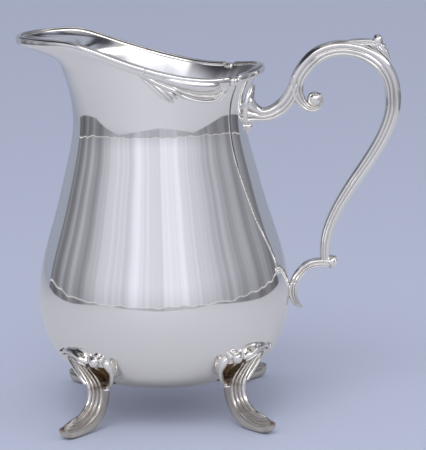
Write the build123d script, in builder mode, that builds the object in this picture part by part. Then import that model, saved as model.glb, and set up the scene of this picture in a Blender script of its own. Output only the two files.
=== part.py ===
"""A footed silver-plated water pitcher with a scroll handle, in millimetres.

The body's axis is Z and the floor is Z = 0. The spout points to -X and the handle to +X.
"""

from build123d import *
from math import cos, radians, sin, sqrt
import os

os.makedirs("parts", exist_ok=True)

# Body: a raised sheet, round up to the neck and egg-shaped above it
wall = 1.2
base_height = 19.0
base_radius = 42.0
belly_radius = 79.4
belly_height = 75.0
waist_radius = 66.3
waist_height = 131.0
neck_radius = 54.0
neck_height = 187.0

# Rim line seen from the side: level at the spout, a long fall, and a small rise to the back lip
rim_above_neck = 29.0
low_rim_height = neck_height + rim_above_neck
spout_rise = 25.5
spout_rim_height = low_rim_height + spout_rise
shoulder_x = -50.0
low_x = 36.0
fall_power = 1.5
back_rise = 4.6
back_rise_length = 34.0

# Mouth: how far the front, the back and the sides flare out above the neck
mouth_clearance = 1.5
mouth_height = spout_rim_height + mouth_clearance
front_flare = 8.5
front_flare_height = 39.0
spout_lip = 17.7
spout_lip_depth = 17.5
spout_lip_start = spout_rim_height - spout_lip_depth
spout_lip_rise = 14.5
back_flare = 13.0
back_flare_height = rim_above_neck + 3.0
side_flare = 2.0
side_flare_height = 54.0

# Cast border round the rim
border_height = 6.0
border_thickness = 3.6
shell_edge_drop = 1.6
spout_seam_angle = 97.0
scroll_end_angle = 47.0
knuckle_angle = 43.0
back_seam_angle = 39.0
knuckle_radius = 3.6
knot_radius = 2.6
knot_x = 39.5
knot_drop = 10.0

# Side scroll: two levels of relief on the neck
scroll_relief = 1.8
boss_relief = 3.2

# Handle
socket_thickness = 2.6
socket_half_width = 9.5
handle_depth = 8.6
curl_reach = 25.8
curl_x = belly_radius + curl_reach
curl_height = 91.4
curl_radius = 4.4
curl_width = 7.4
tail_joint_drop = 14.2
volute_above_neck = 8.8
volute_height = neck_height + volute_above_neck
volute_radius = 7.8
eye_radius = 3.4
eye_rise = 0.9
thumb_rise = 13.0
thumb_radius = 4.0
socket_above = 11.2
socket_below = 17.8

# Feet
foot_angle = 50.0
leg_width = 7.6
rib_width = 4.8
crest_width = 2.0
plate_thickness = 2.6
wing_reach = 18.5
wing_height = 50.5
bud_radius = 4.4
bead_radius = 2.0


def smooth_step(t):
    t = min(1.0, max(0.0, t))
    return t * t * (3 - 2 * t)


def front_reach(z):
    """How far the body reaches towards the spout at height z."""
    lip = smooth_step((z - spout_lip_start) / spout_lip_rise)
    return neck_radius + front_flare * ((z - neck_height) / front_flare_height) ** 2 + spout_lip * lip


def back_reach(z):
    """How far the body reaches towards the handle at height z."""
    return neck_radius + back_flare * ((z - neck_height) / back_flare_height) ** 2


def side_reach(z):
    """Half the body's width at height z."""
    return neck_radius + side_flare * ((z - neck_height) / side_flare_height) ** 2


def grown(reach, z, grow):
    """A reach at height z, moved square to the wall by grow."""
    step = 0.5
    slope = (reach(z + step) - reach(z - step)) / (2 * step) if z > neck_height else 0.0
    return reach(z) + grow * sqrt(1 + slope * slope)


def rim_height(x):
    """Height of the rim's crest at x."""
    if x < shoulder_x:
        return spout_rim_height
    if x < low_x:
        left = (low_x - x) / (low_x - shoulder_x)
        return low_rim_height + (spout_rim_height - low_rim_height) * left**fall_power
    return low_rim_height + back_rise * ((x - low_x) / back_rise_length) ** 2


def rim_point(angle, drop):
    """A point on the body's outer face, drop below the rim's crest. The spout is at 180 degrees."""
    low = neck_height
    high = mouth_height
    for _ in range(40):
        z = (low + high) / 2
        reach = back_reach(z) if cos(radians(angle)) > 0 else front_reach(z)
        x = reach * cos(radians(angle))
        if rim_height(x) - drop > z:
            low = z
        else:
            high = z
    return Vector(x, side_reach(z) * sin(radians(angle)), z)


def below_rim(points):
    """Points given as x and the drop below the rim's crest, as x and height."""
    return [(x, rim_height(x) - drop) for x, drop in points]


def from_belly(points):
    """Points whose first number is counted from the belly's widest radius."""
    return [(belly_radius + point[0], *point[1:]) for point in points]


def vessel_form(grow):
    """The body as one filled solid, its surface moved out by grow."""
    with BuildLine(Plane.XZ):
        profile = Spline(
            (0, base_height),
            (base_radius, base_height + 3.5),
            (belly_radius - 13.2, belly_height - 39.0),
            (belly_radius - 2.1, belly_height - 16.5),
            (belly_radius, belly_height),
            (belly_radius - 4.2, belly_height + 27.0),
            (waist_radius, waist_height),
            (waist_radius - 7.4, (waist_height + neck_height) / 2),
            (neck_radius, neck_height),
            tangents=((1, 0), (0, 1)),
        )
    steps = 16
    points = []
    for i in range(1, steps):
        place = profile @ (i / steps)
        along = profile % (i / steps)
        points.append((place.X + grow * along.Z, place.Z - grow * along.X))
    with BuildPart() as form:
        with BuildSketch(Plane.XZ):
            with BuildLine():
                Spline(
                    (0, base_height - grow),
                    *points,
                    (neck_radius + grow, neck_height),
                    tangents=((1, 0), (0, 1)),
                )
                Polyline((neck_radius + grow, neck_height), (0, neck_height), (0, base_height - grow))
            make_face()
        revolve(axis=Axis.Z)
    with BuildPart() as mouth:
        levels = 18
        for level in range(levels + 1):
            z = neck_height + (mouth_height - neck_height) * level / levels
            half_width = grown(side_reach, z, grow)
            with BuildSketch(Plane.XY.offset(z)):
                with BuildLine():
                    back = grown(back_reach, z, grow)
                    front = grown(front_reach, z, grow)
                    EllipticalCenterArc((0, 0), back, half_width, start_angle=-90, arc_size=180)
                    EllipticalCenterArc((0, 0), front, half_width, start_angle=90, arc_size=180)
                make_face()
        loft()
    return form.part + mouth.part


def side_bar(points):
    """An oval bar in the XZ plane through (x, z, thickness, depth along Y) points."""
    with BuildPart() as bar:
        for i, (x, z, thickness, depth) in enumerate(points):
            before = points[max(0, i - 1)]
            after = points[min(len(points) - 1, i + 1)]
            direction = (after[0] - before[0], 0, after[1] - before[1])
            with BuildSketch(Plane(origin=(x, 0, z), x_dir=(0, 1, 0), z_dir=direction)):
                Ellipse(depth / 2, thickness / 2)
        loft()
    return bar.part


def rim_bar(start_angle, end_angle, count):
    """The cast border's oval bar along the rim, between two angles."""
    step = (end_angle - start_angle) / count
    with BuildPart() as bar:
        for i in range(count + 1):
            angle = start_angle + step * i
            centre = rim_point(angle, border_height / 2)
            ahead = rim_point(angle + 1, border_height / 2) - rim_point(angle - 1, border_height / 2)
            outward = ahead.cross(Vector(0, 0, 1))
            with BuildSketch(Plane(origin=centre, x_dir=outward, z_dir=ahead)):
                Ellipse(border_thickness / 2, border_height / 2)
        loft()
    return bar.part


outer_form = vessel_form(0)
inner_form = vessel_form(-wall)

trim_reach = max(front_reach(mouth_height), back_reach(mouth_height)) + 6
trim_top = mouth_height + 10

with BuildPart() as body_shell:
    add(outer_form)
    add(inner_form, mode=Mode.SUBTRACT)
    with BuildSketch(Plane.XZ):
        with BuildLine():
            trim_points = []
            trim_places = (-75, shoulder_x, -40, -28, -15, 0, 15, 26, low_x, 45, 55, 65, 80)
            for x in (-trim_reach, *trim_places, trim_reach):
                trim_points.append((x, rim_height(x) - shell_edge_drop))
            edge = Spline(*trim_points)
            Polyline(edge @ 1, (trim_reach, trim_top), (-trim_reach, trim_top), edge @ 0)
        make_face()
    extrude(amount=belly_radius, both=True, mode=Mode.SUBTRACT)
body_shell.part.label = "body_shell"

spout_bar = rim_bar(spout_seam_angle, 360 - spout_seam_angle, 14)
scroll_bar = rim_bar(-spout_seam_angle, -scroll_end_angle, 6)
binder_bar = rim_bar(-scroll_end_angle, -back_seam_angle, 2)
back_bar = rim_bar(-back_seam_angle, back_seam_angle, 8)

with BuildPart() as spout_border:
    add(spout_bar)
    add(body_shell.part, mode=Mode.SUBTRACT)
spout_border.part.label = "spout_border"

with BuildPart() as back_border:
    add(back_bar)
    add(body_shell.part, mode=Mode.SUBTRACT)
back_border.part.label = "back_border"

# The hanging scroll is cut from two layers of relief that follow the neck
scroll_relief_form = vessel_form(scroll_relief)
boss_relief_form = vessel_form(boss_relief)

with BuildPart() as scroll_layer:
    with BuildSketch(Plane.XZ):
        with BuildLine():
            Polyline(*below_rim([(41, 8.1), (41, 3.1), (30, 3.9), (15, 4.1), (0, 3.5), (-13, 2.8)]))
            Spline(*below_rim([(-13, 2.8), (-6, 10.1), (0, 13.5), (8.4, 18.3)]))
            Spline(*below_rim([(8.4, 18.3), (12.1, 14.5), (23.3, 13.6), (31, 13.5), (38, 11.8), (41, 8.1)]))
        make_face()
    extrude(amount=belly_radius)
    add(scroll_relief_form, mode=Mode.INTERSECT)
    add(outer_form, mode=Mode.SUBTRACT)

with BuildPart() as boss_layer:
    with BuildSketch(Plane.XZ):
        with BuildLine():
            boss_low = [(-6, 3.7), (8, 5.1), (20, 7.2), (32, 8.3), (38.5, 5.5)]
            boss_high = [(36, 2.4), (20, 2.4), (4, 2.2)]
            Spline(*below_rim(boss_low + boss_high), periodic=True)
        make_face()
    extrude(amount=belly_radius)
    add(boss_relief_form, mode=Mode.INTERSECT)
    add(outer_form, mode=Mode.SUBTRACT)

with BuildPart() as side_scroll_near:
    add(scroll_bar)
    add(scroll_layer.part)
    add(boss_layer.part)
    add(body_shell.part, mode=Mode.SUBTRACT)
    add(spout_border.part, mode=Mode.SUBTRACT)
side_scroll_near.part.label = "side_scroll_near"

with BuildPart() as side_scroll_far:
    add(side_scroll_near.part)
    mirror(about=Plane.XZ, mode=Mode.REPLACE)
side_scroll_far.part.label = "side_scroll_far"

# The binder between a scroll and the back border: a knuckle on the rim over a small knot
with BuildPart() as rim_knuckle_near:
    add(binder_bar)
    knuckle_place = rim_point(-knuckle_angle, border_height / 2)
    with Locations(knuckle_place):
        Sphere(knuckle_radius)
    knot_place = Vector(knot_x, -sqrt(neck_radius**2 - knot_x**2) - 1.5, low_rim_height - knot_drop)
    with Locations(knot_place):
        Sphere(knot_radius)
    with BuildSketch(Plane(origin=knot_place, z_dir=knuckle_place - knot_place)):
        Circle(knot_radius * 0.8)
    extrude(amount=(knuckle_place - knot_place).length)
    add(outer_form, mode=Mode.SUBTRACT)
    add(side_scroll_near.part, mode=Mode.SUBTRACT)
    add(back_border.part, mode=Mode.SUBTRACT)
rim_knuckle_near.part.label = "rim_knuckle_near"


with BuildPart() as rim_knuckle_far:
    add(rim_knuckle_near.part)
    mirror(about=Plane.XZ, mode=Mode.REPLACE)
rim_knuckle_far.part.label = "rim_knuckle_far"

# The handle's leaf plate hugs the back of the neck
socket_form = vessel_form(socket_thickness)
socket_top = volute_height + socket_above
socket_bottom = volute_height - socket_below

with BuildPart() as handle_socket:
    with BuildSketch(Plane.YZ):
        with BuildLine():
            Spline(
                (0, socket_bottom),
                (socket_half_width * 0.75, socket_bottom + 7),
                (socket_half_width, socket_bottom + 16),
                (socket_half_width * 0.6, socket_top - 3),
                (0, socket_top),
                (-socket_half_width * 0.6, socket_top - 3),
                (-socket_half_width, socket_bottom + 16),
                (-socket_half_width * 0.75, socket_bottom + 7),
                periodic=True,
            )
        make_face()
    extrude(amount=belly_radius)
    add(socket_form, mode=Mode.INTERSECT)
    add(outer_form, mode=Mode.SUBTRACT)
handle_socket.part.label = "handle_socket"

# Centre lines of the handle's bars: x, z, thickness, depth along Y. The large scroll is drawn in parts
# of its own rise, from the curl at its foot to the volute
scroll_rise = volute_height - curl_height


def scroll_place(across, up):
    """A place on the large scroll, in parts of its rise from the curl."""
    return curl_x + across * scroll_rise, curl_height + up * scroll_rise


scroll_line = [
    (*scroll_place(-0.2069, 1.0354), 9.4, handle_depth),
    (*scroll_place(-0.1782, 1.1073), 9.6, handle_depth),
    (*scroll_place(-0.1398, 1.1743), 10.0, handle_depth),
    (*scroll_place(-0.0805, 1.2414), 10.4, handle_depth),
    (*scroll_place(0.0077, 1.2893), 10.4, handle_depth),
    (*scroll_place(0.1082, 1.3008), 10.4, handle_depth),
    (*scroll_place(0.2088, 1.2797), 10.4, handle_depth),
    (*scroll_place(0.3094, 1.2184), 10.6, handle_depth),
    (*scroll_place(0.3774, 1.1264), 10.2, handle_depth),
    (*scroll_place(0.4023, 1.0115), 10.0, handle_depth),
    (*scroll_place(0.3946, 0.9157), 9.6, handle_depth),
    (*scroll_place(0.3602, 0.8103), 9.2, handle_depth),
    (*scroll_place(0.3017, 0.7002), 8.8, handle_depth),
    (*scroll_place(0.2203, 0.5785), 8.4, 8.2),
    (*scroll_place(0.1284, 0.4483), 8.0, 7.8),
    (*scroll_place(0.0517, 0.3257), 7.4, 7.4),
    (*scroll_place(-0.0019, 0.2069), 6.9, 7.0),
    (*scroll_place(-0.0249, 0.1015), 6.5, 6.8),
    (*scroll_place(-0.0249, -0.0134), 6.4, 6.6),
]
volute_x, _ = scroll_place(-0.0948, 1.0)
thumb_x, thumb_foot = scroll_place(0.3065, 1.2184)
thumb_height = thumb_foot + thumb_rise
arm_middle = (neck_radius + 9.0 + volute_x - 19.3) / 2
arm_line = [
    (neck_radius + 1.0, volute_height - 6.0, 20.0, 14.0),
    (neck_radius + 4.6, volute_height - 7.2, 15.4, 12.0),
    (neck_radius + 9.0, volute_height - 8.8, 9.6, 9.6),
    (arm_middle, volute_height - 8.4, 9.4, handle_depth),
    (volute_x - 19.3, volute_height - 5.2, 9.8, handle_depth),
    (volute_x - 14.7, volute_height - 1.0, 9.6, handle_depth),
    (volute_x - 11.7, volute_height + 3.7, 9.0, 8.2),
    (volute_x - 9.6, volute_height + 8.2, 7.6, 7.2),
]
lower_line = from_belly([
    (7.6, curl_height - 29.0, 1.8, 3.0),
    (5.2, curl_height - 26.8, 3.4, 6.0),
    (3.0, curl_height - 23.6, 5.2, 8.0),
    (1.8, curl_height - 19.0, 5.8, 8.6),
    (2.2, curl_height - 14.6, 5.6, 7.6),
    (4.3, curl_height - 10.2, 5.8, 7.2),
    (7.1, curl_height - 6.2, 6.0, 7.0),
    (10.6, curl_height - 2.8, 6.0, 6.8),
    (15.0, curl_height - 0.8, 6.2, 6.8),
    (20.0, curl_height, 6.4, 6.8),
    (curl_reach, curl_height, 6.4, 6.8),
])
thumb_line = [
    (thumb_x - 18.2, thumb_height, 2.6, 5.0),
    (thumb_x - 11.7, thumb_height - 0.4, 4.8, 7.6),
    (thumb_x - 5.7, thumb_height, 4.4, 6.4),
    (thumb_x, thumb_height, 4.0, 5.0),
    (thumb_x + 4.2, thumb_height - 5.2, 4.6, 6.4),
    (thumb_x + 8.4, thumb_height - 12.0, 2.6, 4.0),
]

arm_bar = side_bar(arm_line)
scroll_handle_bar = side_bar(scroll_line)
lower_bar = side_bar(lower_line)
thumb_bar = side_bar(thumb_line)

# The lower bracket curls up to meet the end of the large scroll
tail_joint_height = curl_height - tail_joint_drop

with BuildPart() as handle_bracket:
    add(lower_bar)
    split(bisect_by=Plane.XY.offset(tail_joint_height), keep=Keep.TOP)
    with BuildSketch(Plane.XZ.offset(-curl_width / 2)):
        with Locations((curl_x, curl_height)):
            Circle(curl_radius)
    extrude(amount=curl_width)
    add(outer_form, mode=Mode.SUBTRACT)
handle_bracket.part.label = "handle_bracket"

with BuildPart() as handle_scroll:
    add(scroll_handle_bar)
    with BuildSketch(Plane.XZ.offset(-handle_depth / 2)):
        with Locations((volute_x, volute_height)):
            Circle(volute_radius)
    extrude(amount=handle_depth)
    with BuildSketch(Plane.XZ.offset(-handle_depth / 2 - eye_rise)):
        with Locations((volute_x + 1.5, volute_height)):
            Circle(eye_radius)
    extrude(amount=handle_depth + 2 * eye_rise)
    with BuildSketch(Plane.XZ.offset(-handle_depth / 2 + 1)):
        with BuildLine():
            web = [(-3.3, 5.2), (4.2, 5.2), (2.2, 20.2), (-5.3, 16.2)]
            Polyline(*[(volute_x + x, volute_height + z) for x, z in web], close=True)
        make_face()
    extrude(amount=handle_depth - 2)
    add(handle_bracket.part, mode=Mode.SUBTRACT)
handle_scroll.part.label = "handle_scroll"

# The arm runs from the plate into the side of the scroll
with BuildPart() as handle_arm:
    add(arm_bar)
    add(socket_form, mode=Mode.SUBTRACT)
    add(handle_scroll.part, mode=Mode.SUBTRACT)
handle_arm.part.label = "handle_arm"

with BuildPart() as handle_tail:
    add(lower_bar)
    split(bisect_by=Plane.XY.offset(tail_joint_height), keep=Keep.BOTTOM)
    add(outer_form, mode=Mode.SUBTRACT)
handle_tail.part.label = "handle_tail"

with BuildPart() as thumb_rest:
    add(thumb_bar)
    with Locations((thumb_x, 0, thumb_height)):
        Sphere(thumb_radius)
    add(handle_scroll.part, mode=Mode.SUBTRACT)
thumb_rest.part.label = "thumb_rest"

# One foot, standing at +X and turned to its place afterwards. A leg is three nested ribs
plate_form = vessel_form(plate_thickness)
inner_edge = from_belly([(-21.9, 36), (-22.0, 21), (-19.2, 13.7), (-12.8, 5.2), (-6.4, 1.7), (0.6, 0)])
toe_edge = from_belly([(12.6, 0), (19.1, 2.4), (23.1, 8.5)])
side_edge = from_belly([
    (23.1, 8.5), (16.6, 5.6), (6.6, 5.8), (-3.6, 9.0), (-9.8, 14), (-12.4, 21), (-11.4, 29), (-6.4, 38),
    (0.6, 45),
])
middle_edge = from_belly([
    (17.6, 9), (8.6, 8.4), (-0.8, 11), (-7.4, 16), (-10.2, 22), (-9.4, 29.4), (-4.4, 37.4), (2.6, 44),
])
crest_edge = from_belly([
    (10.6, 12), (4.6, 11.4), (-2.0, 14), (-6.2, 19), (-7.8, 24), (-6.8, 30), (-1.8, 37), (4.6, 43),
])


def leg_rib(outer_edge, width):
    """A slab of the leg in the plane of the foot, between the inner edge and an outer edge."""
    with BuildPart() as rib:
        with BuildSketch(Plane.XZ.offset(-width / 2)):
            with BuildLine():
                Spline(*inner_edge)
                Line(inner_edge[-1], toe_edge[0])
                Spline(*toe_edge[:2], outer_edge[0])
                Spline(*outer_edge)
                Polyline(outer_edge[-1], (belly_radius - 19.4, 46), inner_edge[0])
            make_face()
        extrude(amount=width)
    return rib.part


side_rib = leg_rib(side_edge, leg_width)
middle_rib = leg_rib(middle_edge, rib_width)
crest_rib = leg_rib(crest_edge, crest_width)

with BuildPart() as foot_plate:
    with BuildSketch(Plane.YZ):
        with BuildLine():
            Spline(
                (0, wing_height - 23.5),
                (6.5, wing_height - 17.5),
                (8.5, wing_height - 10.5),
                (wing_reach, wing_height - 3),
                (wing_reach, wing_height + 2),
                (8, wing_height - 2),
                (0, wing_height + 0.5),
                (-8, wing_height - 2),
                (-wing_reach, wing_height + 2),
                (-wing_reach, wing_height - 3),
                (-8.5, wing_height - 10.5),
                (-6.5, wing_height - 17.5),
                periodic=True,
            )
        make_face()
    extrude(amount=belly_radius + 10)
    add(plate_form, mode=Mode.INTERSECT)
    with Locations((belly_radius - 4.9, 0, wing_height - 4)):
        Sphere(bud_radius)
    for side in (-1, 1):
        with Locations((belly_radius - 5.8, side * (wing_reach + 0.5), wing_height)):
            Sphere(bead_radius)
    add(outer_form, mode=Mode.SUBTRACT)

with BuildPart() as foot_leg:
    add(side_rib)
    add(middle_rib)
    add(crest_rib)
    add(plate_form, mode=Mode.SUBTRACT)
    add(foot_plate.part, mode=Mode.SUBTRACT)

pieces = [
    body_shell,
    spout_border,
    back_border,
    side_scroll_near,
    side_scroll_far,
    rim_knuckle_near,
    rim_knuckle_far,
    handle_socket,
    handle_arm,
    handle_scroll,
    thumb_rest,
    handle_bracket,
    handle_tail,
]
for piece in pieces:
    export_step(piece.part, f"parts/{piece.part.label}.step")

foot_turns = (-foot_angle, foot_angle, 180 - foot_angle, 180 + foot_angle)
for number, turn in enumerate(foot_turns, start=1):
    for name, piece in (("foot_leg", foot_leg), ("foot_plate", foot_plate)):
        placed = piece.part.rotate(Axis.Z, turn)
        placed.label = f"{name}_{number}"
        export_step(placed, f"parts/{placed.label}.step")
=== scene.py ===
import math

import bmesh
import bpy
import numpy as np
from mathutils import Matrix, Vector, noise


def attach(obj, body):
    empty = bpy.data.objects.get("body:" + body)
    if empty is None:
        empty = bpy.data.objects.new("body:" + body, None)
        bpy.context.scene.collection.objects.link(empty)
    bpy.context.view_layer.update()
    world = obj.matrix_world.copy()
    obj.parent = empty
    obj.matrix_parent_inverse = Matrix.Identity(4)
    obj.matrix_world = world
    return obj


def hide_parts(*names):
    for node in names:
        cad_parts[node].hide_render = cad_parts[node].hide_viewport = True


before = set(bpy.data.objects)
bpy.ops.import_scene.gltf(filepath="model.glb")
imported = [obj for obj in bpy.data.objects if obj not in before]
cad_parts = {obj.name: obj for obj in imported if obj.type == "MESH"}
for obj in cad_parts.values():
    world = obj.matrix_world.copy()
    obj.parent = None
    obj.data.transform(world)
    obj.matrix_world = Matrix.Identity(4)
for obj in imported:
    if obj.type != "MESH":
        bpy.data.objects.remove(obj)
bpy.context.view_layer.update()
print("frame loaded")

# Lengths in the pieces' own values are millimetres
mm = 0.001

# The photograph's own viewpoint: degrees, metres and a lens on a 36 mm sensor
viewpoint = {
    "place": (0.01571, -1.49992, 0.395),
    "pitch": 10.49,
    "turn": 0.619,
    "roll": 1.5,
    "lens": 192.8,
}


def placeCamera():
    data = bpy.data.cameras.new("camera")
    data.lens = viewpoint["lens"]
    data.sensor_width = 36
    data.clip_end = 50
    camera = bpy.data.objects.new("camera", data)
    bpy.context.scene.collection.objects.link(camera)
    turn = Matrix.Rotation(math.radians(-viewpoint["turn"]), 4, "Z")
    pitch = Matrix.Rotation(math.radians(90 - viewpoint["pitch"]), 4, "X")
    roll = Matrix.Rotation(math.radians(-viewpoint["roll"]), 4, "Z")
    camera.matrix_world = Matrix.Translation(viewpoint["place"]) @ turn @ pitch @ roll
    bpy.context.scene.camera = camera


placeCamera()
bpy.context.scene.view_settings.view_transform = "Standard"


def smoothStep(t):
    # 0 to 1 with soft ends
    t = np.clip(t, 0, 1)
    return t * t * (3 - 2 * t)


def fitCurve(points, startSlope=None, closed=False):
    # A smooth cubic through the points; gives a function of distance, and the total distance
    p = np.array(points, float)
    if closed:
        p = np.vstack([p, p[:1]])
    h = np.linalg.norm(np.diff(p[:, :2], axis=0), axis=1)
    t = np.concatenate([[0], np.cumsum(h)])
    n = len(p)
    a = np.zeros((n, n))
    b = np.zeros_like(p)
    for i in range(1, n - 1):
        a[i, i - 1] = 1 / h[i - 1]
        a[i, i] = 2 / h[i - 1] + 2 / h[i]
        a[i, i + 1] = 1 / h[i]
        b[i] = 3 * ((p[i] - p[i - 1]) / h[i - 1] ** 2 + (p[i + 1] - p[i]) / h[i] ** 2)
    if closed:
        a[0, 0] = 2 / h[-1] + 2 / h[0]
        a[0, 1] = 1 / h[0]
        a[0, n - 2] = 1 / h[-1]
        b[0] = 3 * ((p[0] - p[n - 2]) / h[-1] ** 2 + (p[1] - p[0]) / h[0] ** 2)
        a[n - 1, n - 1] = 1
        a[n - 1, 0] = -1
    else:
        a[0, 0] = 2
        a[0, 1] = 1
        b[0] = 3 * (p[1] - p[0]) / h[0]
        a[n - 1, n - 1] = 2
        a[n - 1, n - 2] = 1
        b[n - 1] = 3 * (p[n - 1] - p[n - 2]) / h[-1]
        if startSlope is not None:
            a[0, :2] = (1, 0)
            b[0] = startSlope
    slopes = np.linalg.solve(a, b)

    def at(where):
        where = np.clip(np.atleast_1d(np.asarray(where, float)), 0, t[-1])
        i = np.clip(np.searchsorted(t, where, side="right") - 1, 0, n - 2)
        u = ((where - t[i]) / h[i])[:, None]
        hi = h[i][:, None]
        return (
            p[i] * (2 * u**3 - 3 * u**2 + 1)
            + slopes[i] * hi * (u**3 - 2 * u**2 + u)
            + p[i + 1] * (3 * u**2 - 2 * u**3)
            + slopes[i + 1] * hi * (u**3 - u**2)
        )

    return at, t[-1]


def sampleCurve(points, count, closed=False):
    at, length = fitCurve(points, closed=closed)
    return at(np.linspace(0, length, count))


def makeObject(name, vertices, faces, smooth=True):
    mesh = bpy.data.meshes.new(name)
    mesh.from_pydata([tuple(v) for v in np.asarray(vertices) * mm], [], [tuple(f) for f in faces])
    mesh.validate()
    mesh.update()
    if smooth:
        mesh.shade_smooth()
    obj = bpy.data.objects.new(name, mesh)
    bpy.context.scene.collection.objects.link(obj)
    return obj


def gridFaces(rows, columns, closedRows=False, closedColumns=True, offset=0):
    faces = []
    for i in range(rows if closedRows else rows - 1):
        for j in range(columns if closedColumns else columns - 1):
            a = i * columns + j
            b = i * columns + (j + 1) % columns
            c = ((i + 1) % rows) * columns + (j + 1) % columns
            d = ((i + 1) % rows) * columns + j
            faces.append((offset + a, offset + b, offset + c, offset + d))
    return faces


def tubeMesh(rings, closed=False):
    # Rings of points, joined into a skin and closed at both ends unless they meet
    rings = np.array(rings)
    rows, columns = rings.shape[:2]
    vertices = rings.reshape(-1, 3)
    faces = gridFaces(rows, columns, closedRows=closed)
    if not closed:
        tips = np.array([rings[0].mean(0), rings[-1].mean(0)])
        first = len(vertices)
        vertices = np.vstack([vertices, tips])
        for j in range(columns):
            k = (j + 1) % columns
            faces.append((first, k, j))
            last = (rows - 1) * columns
            faces.append((first + 1, last + j, last + k))
    return vertices, faces


def joinShapes(shapes):
    vertices = []
    faces = []
    count = 0
    for v, f in shapes:
        vertices.append(np.asarray(v))
        faces += [tuple(i + count for i in face) for face in f]
        count += len(v)
    return np.vstack(vertices), faces


def facesOutward(obj):
    bm = bmesh.new()
    bm.from_mesh(obj.data)
    bmesh.ops.recalc_face_normals(bm, faces=bm.faces)
    bm.to_mesh(obj.data)
    bm.free()


def applyModifiers(obj):
    graph = bpy.context.evaluated_depsgraph_get()
    mesh = bpy.data.meshes.new_from_object(obj.evaluated_get(graph))
    obj.modifiers.clear()
    old = obj.data
    obj.data = mesh
    bpy.data.meshes.remove(old)
    obj.data.shade_smooth()


def castAsOne(obj, voxel, smoothing):
    # Overlapping beads become one casting: the size of its cells, and rounds of smoothing
    remesh = obj.modifiers.new("cast", "REMESH")
    remesh.mode = "VOXEL"
    remesh.voxel_size = voxel * mm
    soft = obj.modifiers.new("soft", "SMOOTH")
    soft.factor = 0.5
    soft.iterations = smoothing
    applyModifiers(obj)


def readMesh(items, name, columns, kind=float):
    # One value of every vertex or edge, in rows
    values = np.zeros(len(items) * columns, kind)
    items.foreach_get(name, values)
    return values.reshape(-1, columns)


def writeMask(mesh, name, values):
    mesh.attributes.new(name, "FLOAT", "POINT").data.foreach_set("value", values)


# How the hollows are found: rounds of spreading, how strongly they show, and what shows anywhere
hollows = {"rounds": 4, "gain": 4, "base": 0.05}


def markCreases(obj):
    # How hollow each point lies, kept as a mask for the tarnish
    mesh = obj.data
    count = len(mesh.vertices)
    co = readMesh(mesh.vertices, "co", 3)
    normals = readMesh(mesh.vertices, "normal", 3)
    edges = readMesh(mesh.edges, "vertices", 2, int)
    degree = np.bincount(edges.ravel(), minlength=count).clip(1)
    length = np.linalg.norm(co[edges[:, 0]] - co[edges[:, 1]], axis=1).mean()

    def spread(values):
        total = np.zeros_like(values)
        np.add.at(total, edges[:, 0], values[edges[:, 1]])
        np.add.at(total, edges[:, 1], values[edges[:, 0]])
        return total / (degree[:, None] if values.ndim > 1 else degree)

    wide = co
    for _ in range(hollows["rounds"]):
        wide = 0.5 * wide + 0.5 * spread(wide)
    depth = np.einsum("ij,ij->i", wide - co, normals) / (length * math.sqrt(hollows["rounds"]))
    depth = 0.5 * depth + 0.5 * spread(depth)
    value = np.clip(depth * hollows["gain"] + hollows["base"], 0, 1)
    if "stain" in mesh.attributes:
        value = np.maximum(value, readMesh(mesh.attributes["stain"].data, "value", 1)[:, 0])
    writeMask(mesh, "crease", value)


body = {
    "wall": 1.2,
    # The inner face opens out like a cone just under the rim: its slope and its depth
    "coneSlope": 0.21,
    "coneDepth": 17.0,
    "neckRadius": 54.0,
    "neckHeight": 187.0,
    "frontFlare": 8.5,
    "frontFlareHeight": 39.0,
    "spoutLip": 17.7,
    "lipStart": 224.0,
    "lipRise": 14.5,
    "backFlare": 13.0,
    "backFlareHeight": 32.0,
    "sideFlare": 2.4,
    "sideFlareHeight": 54.0,
    "sideSlope": 0.035,
    "sideWaist": (53.85, 180.0),
    "spoutRim": 241.5,
    "shoulder": -50.0,
    "lowX": 36.0,
    "lowRim": 216.0,
    "fallPower": 1.5,
    "backRise": 4.6,
    "backRiseLength": 34.0,
    "edgeDrop": 1.6,
    "rimSoftness": 7.5,
    "rimStep": 0.5,
    "rimSpread": 40,
    "rimRounds": 40,
    "columns": 288,
    "lowerRows": 84,
    "upperRows": 84,
    "splitHeight": 131.0,
    "profileSamples": 6000,
    "wallFoot": 25.0,
    "crown": 0.35,
    # Marks of the hammer: their height, length, and the length and share of the fine ones
    "wave": 0.05,
    "waveLength": (34.0, 34.0, 60.0),
    "fineLength": 11.0,
    "fineShare": 0.22,
    # No marks in these shares of the rows at the base and at the rim
    "calmBase": 0.15,
    "calmRim": 0.08,
}
# The outline below the neck: radius, height
lowerProfile = [
    (0, 19.0),
    (42.0, 22.5),
    (66.2, 36.0),
    (77.3, 58.5),
    (79.4, 75.0),
    (75.2, 102.0),
    (66.3, 131.0),
    (58.9, 159.0),
    (54.0, 187.0),
]
upperHeights = (199, 210, 218, 224, 228, 232, 236, 240, 245, 252)


def frontReach(z):
    lip = smoothStep((z - body["lipStart"]) / body["lipRise"])
    flare = ((z - body["neckHeight"]) / body["frontFlareHeight"]) ** 2
    return body["neckRadius"] + body["frontFlare"] * flare + body["spoutLip"] * lip


def backReach(z):
    flare = ((z - body["neckHeight"]) / body["backFlareHeight"]) ** 2
    return body["neckRadius"] + body["backFlare"] * flare


def sideReach(z):
    above = z - body["neckHeight"]
    flare = (above / body["sideFlareHeight"]) ** 2
    return body["neckRadius"] + body["sideSlope"] * above + body["sideFlare"] * flare


def profileOf(reach, waist=None):
    lower = lowerProfile[:-1] + [waist] if waist else lowerProfile
    points = lower + [(float(reach(z)), z) for z in upperHeights]
    at, length = fitCurve(points, startSlope=(1, 0))
    places = np.linspace(0, length, body["profileSamples"])
    samples = at(places)
    high = samples[:, 1] > body["wallFoot"]
    return {"at": at, "s": places[high], "z": samples[high, 1]}


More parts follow.
